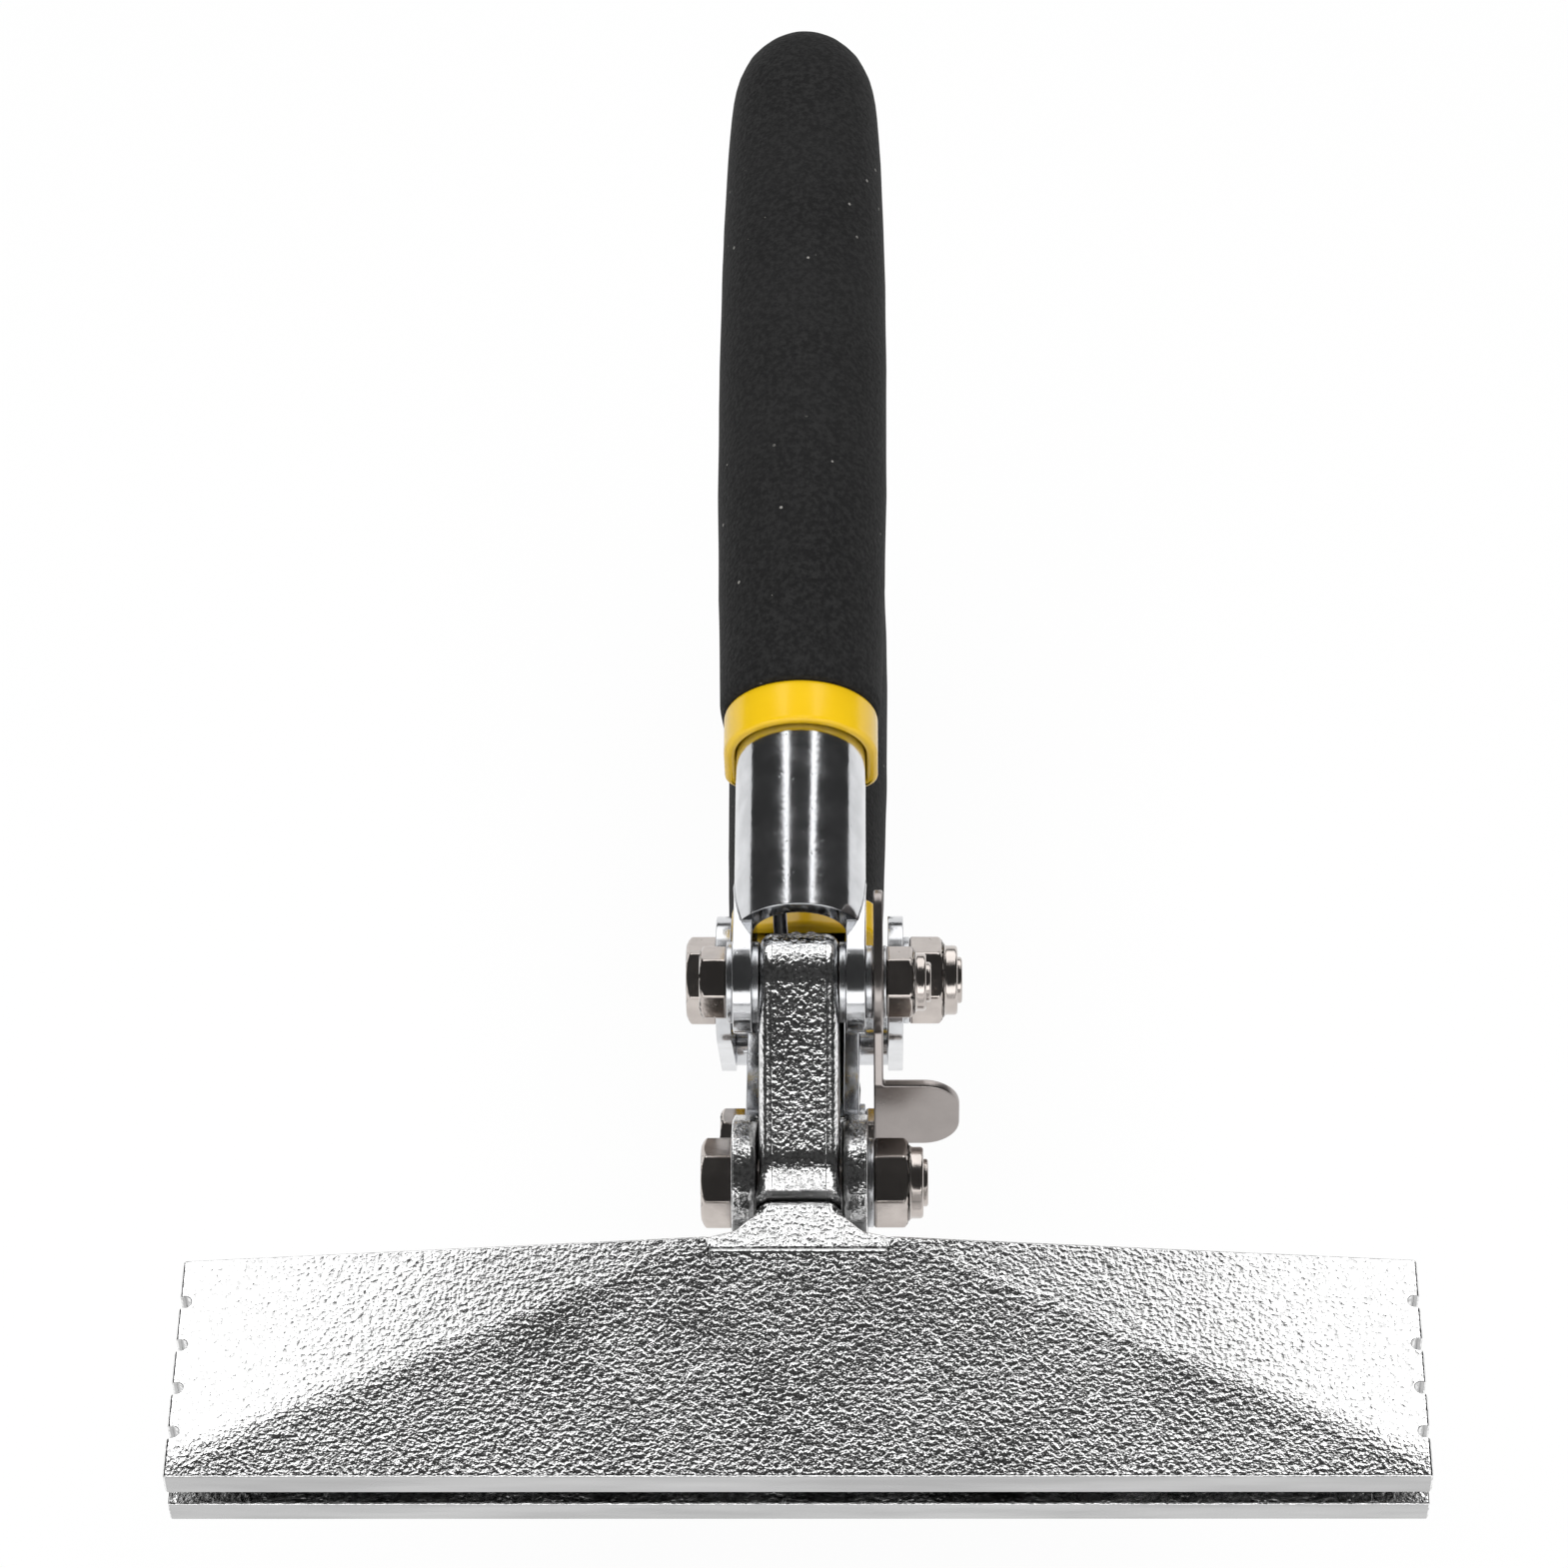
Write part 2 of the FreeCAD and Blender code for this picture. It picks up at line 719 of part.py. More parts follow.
def make_grip(label, half, side):
    """A soft grip: a round sleeve with a domed end."""
    body = new_body(label)
    middle_z = side * grip_height
    start = size("collar_start") + size("collar_length")
    sleeve = along_handle(body, start)
    draw_circle(sleeve, (0, middle_z), size("grip_radius"))
    pad(body, sleeve, grip_end - start, back=True)
    # the sketch lies on the grip's own axis, so that the dome turns about it
    dome = new_sketch(body, "YZ_Plane")
    bind(dome, "AttachmentOffset.Base.y", middle_z)
    centre = (grip_end, as_size(0))
    tip = (grip_end + size("grip_end_length"), as_size(0))
    top = (grip_end, size("grip_radius"))
    # a quarter of an ellipse
    ellipse = Part.Ellipse(vector(tip), vector(top), vector(centre))
    quarter = dome.addGeometry(Part.ArcOfEllipse(ellipse, 0, math.pi / 2), False)
    axis = dome.addGeometry(Part.LineSegment(vector(centre), vector(tip)), False)
    side_line = dome.addGeometry(Part.LineSegment(vector(top), vector(centre)), False)
    dome.addConstraint(Sketcher.Constraint("Coincident", quarter, 1, axis, 2))
    dome.addConstraint(Sketcher.Constraint("Coincident", quarter, 2, side_line, 1))
    dome.addConstraint(Sketcher.Constraint("Coincident", side_line, 2, axis, 1))
    dome.addConstraint(Sketcher.Constraint("Coincident", quarter, 3, axis, 1))
    fix_point(dome, axis, 1, centre)
    fix_point(dome, axis, 2, tip)
    fix_point(dome, side_line, 1, top)
    turned = body.newObject("PartDesign::Revolution", "Dome")
    turned.Profile = dome
    turned.ReferenceAxis = (dome, ["H_Axis"])
    turned.Angle = 360
    doc.recompute()
    channel_hole(
        body, start - 1, grip_end - size("handle_inset") - start + 2, half, side
    )
    place(body, link_y, side * link_z, side * tilt)
    return body


# ---- fasteners ----------------------------------------------------------------------------


def cylinder(label, radius, start, end, y, z):
    """A round bar along X from start to end, about the axis through (y, z)."""
    item = doc.addObject("Part::Cylinder", label)
    item.Label = label
    bind(item, "Radius", radius)
    bind(item, "Height", end - start)
    item.Placement = FreeCAD.Placement(
        FreeCAD.Vector(0, 0, 0), FreeCAD.Rotation(FreeCAD.Vector(0, 1, 0), 90)
    )
    bind(item, "Placement.Base.x", start)
    bind(item, "Placement.Base.y", y)
    bind(item, "Placement.Base.z", z)
    return item


def hexagon(label, flats, start, end, y, z):
    """A hexagonal bar along X, flats measured across."""
    item = doc.addObject("Part::Prism", label)
    item.Label = label
    item.Polygon = 6
    bind(item, "Circumradius", flats * CORNER_PER_FLAT)
    bind(item, "Height", end - start)
    item.Placement = FreeCAD.Placement(
        FreeCAD.Vector(0, 0, 0), FreeCAD.Rotation(FreeCAD.Vector(0, 1, 0), 90)
    )
    bind(item, "Placement.Base.x", start)
    bind(item, "Placement.Base.y", y)
    bind(item, "Placement.Base.z", z)
    return item


def rounded_hexagon(label, flats, start, end, y, z):
    """A hexagon whose corners are turned down by a cone on its outer end."""
    bar = hexagon(label + "_bar", flats, start, end, y, z)
    cone = doc.addObject("Part::Cone", label + "_cone")
    height = end - start
    outwards = as_size(start).number + as_size(end).number > 0
    wide = flats * CORNER_PER_FLAT + height * CHAMFER_SLOPE
    narrow = flats * TURNED_FACE
    bind(cone, "Radius1", wide if outwards else narrow)
    bind(cone, "Radius2", narrow if outwards else wide)
    bind(cone, "Height", height)
    cone.Placement = FreeCAD.Placement(
        FreeCAD.Vector(0, 0, 0), FreeCAD.Rotation(FreeCAD.Vector(0, 1, 0), 90)
    )
    bind(cone, "Placement.Base.x", start)
    bind(cone, "Placement.Base.y", y)
    bind(cone, "Placement.Base.z", z)
    shaped = doc.addObject("Part::Common", label)
    shaped.Base = bar
    shaped.Tool = cone
    return shaped


def fuse(label, first, second):
    item = doc.addObject("Part::Fuse", label)
    item.Base = first
    item.Tool = second
    item.Label = label
    return item


def cut(label, first, second):
    item = doc.addObject("Part::Cut", label)
    item.Base = first
    item.Tool = second
    item.Label = label
    return item


def make_bolt(label, radius, flats, head, left, right, y, z):
    """A hex bolt whose head sits against x = left and whose end is at x = right."""
    top = rounded_hexagon(label + "_head", flats, left - head, left, y, z)
    shank = cylinder(label + "_shank", radius, left - 0.01, right, y, z)
    return fuse(label, top, shank)


def make_ring(label, outer, inner, start, end, y, z):
    disc = cylinder(label + "_disc", outer, start, end, y, z)
    hole = cylinder(label + "_hole", inner, start - 1, end + 1, y, z)
    return cut(label, disc, hole)


def make_nut(label, radius, flats, start, thickness, y, z):
    """A locking nut: a hexagon with a round crown that holds the insert."""
    end = start + thickness
    body = rounded_hexagon(label + "_hex", flats, start, start + thickness * HEX_SHARE, y, z)
    crown_at = start + thickness * (HEX_SHARE - 0.02)
    crown = cylinder(label + "_crown", flats * CROWN, crown_at, end, y, z)
    solid = fuse(label + "_solid", body, crown)
    inner = radius + THREAD_FIT
    hole = cylinder(label + "_hole", inner, start - 1, end + 1, y, z)
    bored = cut(label + "_bored", solid, hole)
    seat_at = start + thickness * INSERT_SEAT
    seat = cylinder(label + "_seat", flats * INSERT_SIZE, seat_at, end + 1, y, z)
    return cut(label, bored, seat)


def make_insert(label, radius, flats, start, thickness, y, z):
    """The nylon ring in the crown of a locking nut."""
    seat_at = start + thickness * INSERT_SEAT
    top = start + thickness * INSERT_TOP
    return make_ring(label, flats * INSERT_SIZE, radius + THREAD_FIT, seat_at, top, y, z)


def group(label, members):
    """Identical pieces kept together in one sub-part as separate solids."""
    item = doc.addObject("Part::Compound", label)
    item.Links = members
    item.Label = label
    return item


def make_pivot(name, scale, radius, left, right, y, z):
    """A bolt, its locking nut and the nut's insert, clamping from left to right."""
    flats = size(scale + "_flats")
    thickness = size(scale + "_nut")
    end = right + thickness + size("bolt_stub")
    bolt = name + "_bolt"
    nut = name + "_nut"
    insert = name + "_nut_insert"
    return {
        bolt: make_bolt(bolt, radius, flats, size(scale + "_head"), left, end, y, z),
        nut: make_nut(nut, radius, flats, right, thickness, y, z),
        insert: make_insert(insert, radius, flats, right, thickness, y, z),
    }


def make_washer(label, radius, margin, start, end, y, z):
    return make_ring(label, radius + margin, radius + size("washer_fit"), start, end, y, z)


def make_fasteners():
    thin = size("washer_thickness")
    margin = size("washer_margin")
    sleeve = size("sleeve_wall")
    running = size("shim_clearance")
    middle = as_size(0)
    made = {}
    # jaw pivot, through the lower jaw's clevis
    bolt = size("jaw_bolt_radius")
    nut_at = clevis_half + thin
    made.update(make_pivot("jaw_pivot", "large", bolt, -clevis_half, nut_at, pivot_y, middle))
    made["jaw_pivot_washer"] = make_washer(
        "jaw_pivot_washer", bolt, margin, clevis_half, nut_at, pivot_y, middle
    )
    # handle pivot, through the lower handle's ears and the upper handle's lobes
    bolt = size("handle_bolt_radius")
    head_at = -left_ear - size("ear_wall")
    face = right_ear + size("ear_wall")
    nut_at = face + thin
    made.update(make_pivot("handle_pivot", "large", bolt, head_at, nut_at, handle_y, middle))
    made["handle_pivot_washer"] = make_washer(
        "handle_pivot_washer", bolt, margin, face, nut_at, handle_y, middle
    )
    lobe = upper_half + 2 * running
    spacers = [
        make_washer("spacer_right", bolt, sleeve, lobe, right_ear, handle_y, middle),
        make_washer("spacer_left", bolt, sleeve, -left_ear, -lobe, handle_y, middle),
    ]
    made["handle_pivot_spacers"] = group("handle_pivot_spacers", spacers)
    inner = upper_half - size("upper_handle_wall") - SLEEVE_END_ROOM
    made["spring_sleeve"] = make_washer(
        "spring_sleeve", bolt, sleeve, -inner, inner, handle_y, middle
    )
    # upper link: left head, washer, two legs, spacer, latch, wave washer, nut
    bolt = size("link_bolt_radius")
    head_at = -upper_half - thin
    nut_at = latch_outer + size("latch_wave")
    made.update(make_pivot("upper_link", "small", bolt, head_at, nut_at, link_y, link_z))
    made["upper_link_washer"] = make_washer(
        "upper_link_washer", bolt, margin, head_at, -upper_half, link_y, link_z
    )
    slim = margin - 0.5
    made["latch_spacer"] = make_washer(
        "latch_spacer", bolt, slim, upper_half, latch_inner - running, link_y, link_z
    )
    made["latch_wave_washer"] = make_washer(
        "latch_wave_washer", bolt, slim, latch_outer + running, nut_at, link_y, link_z
    )
    # lower link
    nut_at = lower_half + thin
    made.update(make_pivot("lower_link", "small", bolt, -lower_half, nut_at, link_y, -link_z))
    made["lower_link_washer"] = make_washer(
        "lower_link_washer", bolt, margin, lower_half, nut_at, link_y, -link_z
    )
    # shims that fill the room between the upper tang and the upper handle's legs
    leg = upper_half - size("upper_handle_wall")
    face = tang_width / 2 + running
    shims = [
        make_washer("shim_right", bolt, margin, face, leg, link_y, link_z),
        make_washer("shim_left", bolt, margin, -leg, -face, link_y, link_z),
    ]
    made["upper_link_shims"] = group("upper_link_shims", shims)
    return made


# ---- latch --------------------------------------------------------------------------------


def make_latch():
    """A flat latch that turns on the upper link bolt and carries a thumb tab."""
    body = new_body("latch")
    foot = (
        latch_reach * sine(size("latch_angle")),
        -latch_reach * cosine(size("latch_angle")),
    )
    eye = size("link_bolt_radius") + 3.4
    lobe = size("latch_lobe_reach")
    lobe_tip = (lobe * 0.62, lobe * 0.66)
    lobe_radius = as_size(2.6)
    outlines = [
        ((0, 0), eye, foot, size("latch_foot_radius")),
        ((0, 0), eye * 0.999, lobe_tip, lobe_radius),
    ]
    for centre1, radius1, centre2, radius2 in outlines:
        plate = new_sketch(body, "YZ_Plane", latch_inner)
        draw_link(plate, centre1, radius1, centre2, radius2)
        pad(body, plate, size("latch_thickness"))
    front = -size("latch_tab_setback") - size("latch_thickness")
    top = -size("latch_tab_top")
    bottom = top - size("latch_tab_height")
    arm = new_sketch(body, "YZ_Plane", latch_inner)
    draw_polygon(
        arm,
        [
            (-eye * 0.75, as_size(-3.5)),
            (front, top),
            (front, bottom),
            (foot[0] * 0.55, bottom),
            (foot[0] * 0.3, as_size(-5.0)),
        ],
    )
    pad(body, arm, size("latch_thickness"))
    corner = size("latch_tab_corner")
    far = latch_outer + size("latch_tab_length") - corner
    root_side = new_sketch(body, "XZ_Plane", size("latch_tab_setback"))
    draw_polygon(
        root_side, [(latch_inner, top), (far, top), (far, bottom), (latch_inner, bottom)]
    )
    pad(body, root_side, size("latch_thickness"))
    rounded_side = new_sketch(body, "XZ_Plane", size("latch_tab_setback"))
    draw_link(
        rounded_side, (far, top - corner), corner, (far, bottom + corner), corner
    )
    pad(body, rounded_side, size("latch_thickness"))
    bore(body, (0, 0), size("link_bolt_radius") + size("bore_clearance"))
    place(body, link_y, link_z, as_size(0))
    return body


# ---- spring -------------------------------------------------------------------------------


def make_spring():
    """A torsion spring on the handle pivot, with a leg along each handle."""
    wire = float(sheet.get("spring_wire"))
    lean = float(sheet.get("spring_leg_angle"))
    turns = float(sheet.get("spring_turns")) - 0.5 - lean / 180.0
    pitch = wire * float(sheet.get("spring_pitch_ratio"))
    leg = float(sheet.get("spring_leg"))
    sleeve = float(sheet.get("handle_bolt_radius")) + float(sheet.get("sleeve_wall"))
    radius = sleeve + 0.15 + wire / 2
    width = turns * pitch
    helix = Part.makeHelix(pitch, width, radius)
    # the helix starts at (radius, 0, 0) and rises along Z, and each leg leaves it on its tangent
    swing = 2 * math.pi * turns
    rise = pitch / (2 * math.pi)
    start = FreeCAD.Vector(radius, 0, 0)
    end = FreeCAD.Vector(radius * math.cos(swing), radius * math.sin(swing), width)
    start_way = FreeCAD.Vector(0, -radius, -rise).normalize()
    end_way = FreeCAD.Vector(
        -radius * math.sin(swing), radius * math.cos(swing), rise
    ).normalize()
    route = Part.Wire(
        [Part.makeLine(start + start_way * leg, start)]
        + helix.Edges
        + [Part.makeLine(end, end + end_way * leg)]
    )
    profile = Part.Wire(Part.makeCircle(wire / 2, start + start_way * leg, start_way))
    shape = route.makePipeShell([profile], True, True)
    spring = doc.addObject("Part::Feature", "torsion_spring")
    spring.Shape = shape
    spring.Label = "torsion_spring"
    # the coil's axis turns onto X, and both legs point to the rear, one up and one down
    about_x = FreeCAD.Rotation(FreeCAD.Vector(0, 1, 0), 90)
    about_coil = FreeCAD.Rotation(FreeCAD.Vector(0, 0, 1), 180 + lean)
    spring.Placement = FreeCAD.Placement(
        FreeCAD.Vector(-width / 2, handle_y.number, 0), about_x * about_coil
    )
    return spring


# ---- the whole tool -----------------------------------------------------------------------

parts["lower_jaw"] = make_lower_jaw()
parts["upper_jaw"] = make_upper_jaw()
parts["upper_handle"] = make_upper_handle()
parts["lower_handle"] = make_lower_handle()
parts["upper_collar"] = make_collar("upper_collar", upper_half, 1)
parts["lower_collar"] = make_collar("lower_collar", lower_half, -1)
parts["upper_grip"] = make_grip("upper_grip", upper_half, 1)
parts["lower_grip"] = make_grip("lower_grip", lower_half, -1)
parts["latch"] = make_latch()
parts.update(make_fasteners())
parts["torsion_spring"] = make_spring()

doc.recompute()
faults = []
for item in doc.Objects:
    if "Invalid" in item.State or "Error" in item.State:
        faults.append(item.Name)
for name, item in parts.items():
    if item.Shape.isNull() or not item.Shape.isValid():
        faults.append(name)
if faults:
    raise RuntimeError("failed objects: %s" % ", ".join(faults))

os.makedirs("parts", exist_ok=True)
for name, item in parts.items():
    item.Shape.exportStep("parts/%s.step" % name)
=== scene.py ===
import json
import math

import bmesh
import bpy
from mathutils import Matrix, Vector, noise


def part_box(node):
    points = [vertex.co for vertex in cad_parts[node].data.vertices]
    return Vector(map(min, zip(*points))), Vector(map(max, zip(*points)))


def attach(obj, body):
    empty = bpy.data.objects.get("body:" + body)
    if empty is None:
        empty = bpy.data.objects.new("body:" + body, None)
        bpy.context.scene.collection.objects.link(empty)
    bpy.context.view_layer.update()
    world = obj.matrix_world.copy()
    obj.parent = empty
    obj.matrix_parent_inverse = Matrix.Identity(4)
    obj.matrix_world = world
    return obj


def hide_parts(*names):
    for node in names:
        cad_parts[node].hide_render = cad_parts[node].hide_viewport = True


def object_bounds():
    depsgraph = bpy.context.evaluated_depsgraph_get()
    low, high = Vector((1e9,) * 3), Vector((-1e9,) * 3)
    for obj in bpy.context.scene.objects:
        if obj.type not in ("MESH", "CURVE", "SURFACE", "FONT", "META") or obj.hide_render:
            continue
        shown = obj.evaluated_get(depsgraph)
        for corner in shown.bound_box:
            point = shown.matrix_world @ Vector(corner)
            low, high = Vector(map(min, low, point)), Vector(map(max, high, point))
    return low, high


MM = 0.001

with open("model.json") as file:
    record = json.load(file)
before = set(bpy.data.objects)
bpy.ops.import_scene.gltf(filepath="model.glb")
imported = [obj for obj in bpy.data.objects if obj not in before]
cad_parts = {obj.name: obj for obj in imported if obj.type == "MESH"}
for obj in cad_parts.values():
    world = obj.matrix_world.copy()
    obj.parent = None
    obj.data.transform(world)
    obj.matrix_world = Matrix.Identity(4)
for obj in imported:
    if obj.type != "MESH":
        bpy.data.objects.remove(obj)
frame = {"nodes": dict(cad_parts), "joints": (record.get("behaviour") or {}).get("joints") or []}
cad_low, cad_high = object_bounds()
scene = bpy.context.scene
nodes = frame["nodes"]
joints = {joint["name"]: joint for joint in frame["joints"]}

# ---- node trees ---------------------------------------------------------------------------


class Tree:
    """A short way to write a node tree: each call adds a node and returns it."""

    def __init__(self, owner):
        owner.use_nodes = True
        self.tree = owner.node_tree
        self.tree.nodes.clear()

    def add(self, kind, inputs=(), **settings):
        node = self.tree.nodes.new(kind)
        for name, value in settings.items():
            setattr(node, name, value)
        for name, value in dict(inputs).items():
            socket = node.inputs[name]
            if isinstance(value, bpy.types.NodeSocket):
                self.tree.links.new(value, socket)
            else:
                socket.default_value = value
        return node

    def math(self, operation, first, second=0.0, clamp=False):
        inputs = {0: first, 1: second}
        node = self.add("ShaderNodeMath", inputs, operation=operation, use_clamp=clamp)
        return node.outputs[0]

    def ramp(self, value, low, high, start=0.0, end=1.0):
        inputs = {"Value": value, "From Min": low, "From Max": high, "To Min": start, "To Max": end}
        return self.add("ShaderNodeMapRange", inputs, clamp=True).outputs["Result"]

    def mix(self, factor, first, second):
        inputs = {"Factor": factor, 6: first, 7: second}
        return self.add("ShaderNodeMix", inputs, data_type="RGBA").outputs[2]

    def noise(self, place, scale, detail=2.0, rough=0.5):
        inputs = {"Vector": place, "Scale": scale, "Detail": detail, "Roughness": rough}
        return self.add("ShaderNodeTexNoise", inputs).outputs["Fac"]

    def cells(self, place, scale, feature="F1"):
        inputs = {"Vector": place, "Scale": scale}
        return self.add("ShaderNodeTexVoronoi", inputs, feature=feature).outputs["Distance"]

    def bump(self, height, distance, under=None):
        inputs = {"Height": height, "Distance": distance, "Strength": 1.0}
        if under is not None:
            inputs["Normal"] = under
        return self.add("ShaderNodeBump", inputs).outputs["Normal"]

    def edges(self, radius, gain):
        """Near 1 on sharp edges and 0 on flat faces."""
        rounded = self.add("ShaderNodeBevel", {"Radius": radius}, samples=4).outputs[0]
        face = self.add("ShaderNodeNewGeometry").outputs["Normal"]
        inputs = {0: rounded, 1: face}
        dot = self.add("ShaderNodeVectorMath", inputs, operation="DOT_PRODUCT").outputs["Value"]
        return self.math("MULTIPLY", self.math("SUBTRACT", 1.0, dot), gain, clamp=True)

    def place(self):
        return self.add("ShaderNodeTexCoord").outputs["Object"]

    def stretched(self, place, scale):
        inputs = {"Vector": place, "Scale": scale}
        return self.add("ShaderNodeMapping", inputs).outputs["Vector"]

    def surface(self, **inputs):
        shader = self.add("ShaderNodeBsdfPrincipled", inputs)
        self.add("ShaderNodeOutputMaterial", {"Surface": shader.outputs[0]})


def new_tree(name):
    material = bpy.data.materials.new(name)
    return material, Tree(material)


def grey(level):
    return (level, level, level, 1.0)


# ---- materials ----------------------------------------------------------------------------


def cast_plating(name, level, depth, size, shine):
    """Bright plating over a coarse cast surface: every grain catches its own light."""
    material, t = new_tree(name)
    place = t.place()
    grain = t.noise(place, 1.0 / size, 1.5, 0.45)
    pits = t.cells(place, 0.62 / size, "SMOOTH_F1")
    fine = t.noise(place, 3.0 / size, 1.0)
    height = t.math("ADD", grain, t.math("MULTIPLY", pits, 0.5))
    height = t.math("ADD", height, t.math("MULTIPLY", fine, 0.12))
    broad = t.noise(place, 60.0, 3.0)
    cloud = t.ramp(broad, 0.30, 0.70, 0.75, 1.15)
    edge = t.edges(0.5 * MM, 3.0)
    # the working edge and the clamping faces are ground, so their grain is faint
    facing = t.add("ShaderNodeSeparateXYZ", {0: t.add("ShaderNodeTexCoord").outputs["Normal"]})
    front = t.ramp(facing.outputs["Y"], -0.97, -0.90, 1.0, 0.0)
    ends = t.ramp(t.math("ABSOLUTE", facing.outputs["X"]), 0.93, 0.98)
    ground = t.math("MAXIMUM", front, ends)
    # the side facets were struck flatter than the middle one
    slant = t.ramp(t.math("ABSOLUTE", facing.outputs["X"]), 0.02, 0.07, 1.0, 0.40)
    cast = t.math("SUBTRACT", 1.0, t.math("MULTIPLY", t.math("MAXIMUM", ground, edge), 0.80))
    cast = t.math("MULTIPLY", cast, slant)
    height = t.math("MULTIPLY", t.math("MULTIPLY", height, cloud), cast)
    low = grey(level * 0.60)
    colour = t.mix(t.ramp(grain, 0.36, 0.54), low, grey(level))
    colour = t.mix(t.math("MULTIPLY", edge, 0.35), colour, grey(level * 0.75))
    streaks = t.noise(t.stretched(place, (40.0, 400.0, 400.0)), 1.0, 3.0)
    smear = t.ramp(streaks, 0.3, 0.7, 0.46, 0.60)
    bare = t.add("ShaderNodeCombineColor", {0: smear, 1: smear, 2: smear}).outputs[0]
    colour = t.mix(ground, colour, bare)
    rough = t.ramp(broad, 0.3, 0.7, shine - 0.04, shine + 0.05)
    rough = t.math("ADD", rough, t.math("MULTIPLY", ground, 0.16))
    normal = t.bump(height, depth)
    t.surface(**{"Base Color": colour, "Metallic": 1.0, "Roughness": rough, "Normal": normal})
    return material


def bright_steel(name, colour, shine, brushed, pits, wear):
    """Plated sheet or turned steel: fine drawn lines, a rippled skin, pits, worn edges."""
    material, t = new_tree(name)
    place = t.place()
    lines = t.noise(t.stretched(place, brushed), 1.0, 3.0, 0.6)
    mottle = t.noise(place, 260.0, 3.0)
    spots = t.cells(place, 900.0)
    pit = t.ramp(spots, 0.0, 0.16)
    edge = t.edges(0.3 * MM, 3.5)
    base = (*colour, 1.0)
    dull = (colour[0] * wear, colour[1] * wear, colour[2] * wear, 1.0)
    shade = t.mix(t.ramp(mottle, 0.35, 0.72), dull, base)
    shade = t.mix(t.math("MULTIPLY", edge, 0.5), shade, (0.62, 0.60, 0.58, 1.0))
    rough = t.ramp(mottle, 0.3, 0.7, shine - 0.03, shine + 0.05)
    rough = t.math("ADD", rough, t.math("MULTIPLY", edge, 0.08))
    skin = t.noise(place, 1500.0, 2.0)
    normal = t.bump(lines, 0.004 * MM)
    normal = t.bump(t.math("MULTIPLY", skin, pits), 0.016 * MM, normal)
    normal = t.bump(t.math("MULTIPLY", pit, pits), 0.02 * MM, normal)
    t.surface(**{"Base Color": shade, "Metallic": 1.0, "Roughness": rough, "Normal": normal})
    return material


def soft_foam(name):
    """Matt black foam with fine pores, a little dust and a rubbed bloom."""
    material, t = new_tree(name)
    place = t.place()
    pores = t.cells(place, 1900.0)
    weave = t.noise(place, 1300.0, 3.0, 0.7)
    broad = t.noise(place, 42.0, 3.0)
    dust_cells = t.cells(place, 330.0)
    dust_here = t.noise(place, 150.0, 1.0)
    dust = t.math("LESS_THAN", dust_cells, 0.075)
    dust = t.math("MULTIPLY", dust, t.ramp(dust_here, 0.54, 0.60))
    deep = (0.0105, 0.0105, 0.0107, 1.0)
    pale = (0.0160, 0.0160, 0.0162, 1.0)
    shade = t.mix(t.ramp(broad, 0.3, 0.7), deep, pale)
    raised = t.math("MULTIPLY", t.ramp(weave, 0.42, 0.62), 0.6)
    shade = t.mix(raised, shade, grey(0.030))
    shade = t.mix(t.math("MULTIPLY", dust, 0.7), shade, (0.36, 0.35, 0.33, 1.0))
    rough = t.ramp(broad, 0.3, 0.7, 0.78, 0.92)
    height = t.math("ADD", t.math("MULTIPLY", pores, 0.7), weave)
    normal = t.bump(height, 0.12 * MM)
    t.surface(**{
        "Base Color": shade, "Roughness": rough, "Normal": normal,
        "Specular IOR Level": 0.10, "Sheen Weight": 0.03, "Sheen Roughness": 0.5,
    })
    return material


def moulded_plastic(name, colour, shine, scuff):
    """Moulded plastic: a faint orange-peel skin and slightly scuffed edges."""
    material, t = new_tree(name)
    place = t.place()
    peel = t.noise(place, 420.0, 2.0)
    broad = t.noise(place, 70.0, 3.0)
    edge = t.edges(0.5 * MM, 2.5)
    base = (*colour, 1.0)
    deep = (colour[0] * 0.86, colour[1] * 0.80, colour[2] * 0.7, 1.0)
    shade = t.mix(t.ramp(broad, 0.3, 0.7), deep, base)
    scuffed = (*[min(1.0, c * 1.1 + scuff) for c in colour], 1.0)
    shade = t.mix(t.math("MULTIPLY", edge, 0.25), shade, scuffed)
    rough = t.ramp(broad, 0.3, 0.7, shine, shine + 0.07)
    rough = t.math("ADD", rough, t.math("MULTIPLY", edge, 0.1))
    t.surface(**{"Base Color": shade, "Roughness": rough, "Normal": t.bump(peel, 0.012 * MM)})
    return material


# colours are linear
JAW = cast_plating("cast_plated_jaw", 0.90, 0.15 * MM, 0.50 * MM, 0.12)
HANDLE = bright_steel("plated_handle", (0.74, 0.75, 0.77), 0.13, (900.0, 90.0, 900.0), 0.5, 0.80)
BOLT = bright_steel("nickel_bolt", (0.62, 0.565, 0.53), 0.15, (700.0, 160.0, 700.0), 0.7, 0.78)
WASHER = bright_steel("zinc_washer", (0.66, 0.67, 0.69), 0.24, (500.0, 500.0, 500.0), 0.6, 0.8)
LATCH = bright_steel("nickel_latch", (0.40, 0.365, 0.35), 0.30, (240.0, 1500.0, 240.0), 0.8, 0.86)
SPRING = bright_steel(
    "spring_wire_steel", (0.30, 0.30, 0.31), 0.26, (300.0, 900.0, 900.0), 0.5, 0.75
)
FOAM = soft_foam("black_foam")
YELLOW = moulded_plastic("yellow_plastic", (0.87, 0.560, 0.010), 0.18, 0.05)
NYLON = moulded_plastic("nylon_insert", (0.62, 0.62, 0.58), 0.40, 0.02)

# ---- finished metal and plastic pieces ----------------------------------------------------


SHARP = math.radians(28.0)
FLAT = math.radians(0.6)
SAME_POINT = 2e-6


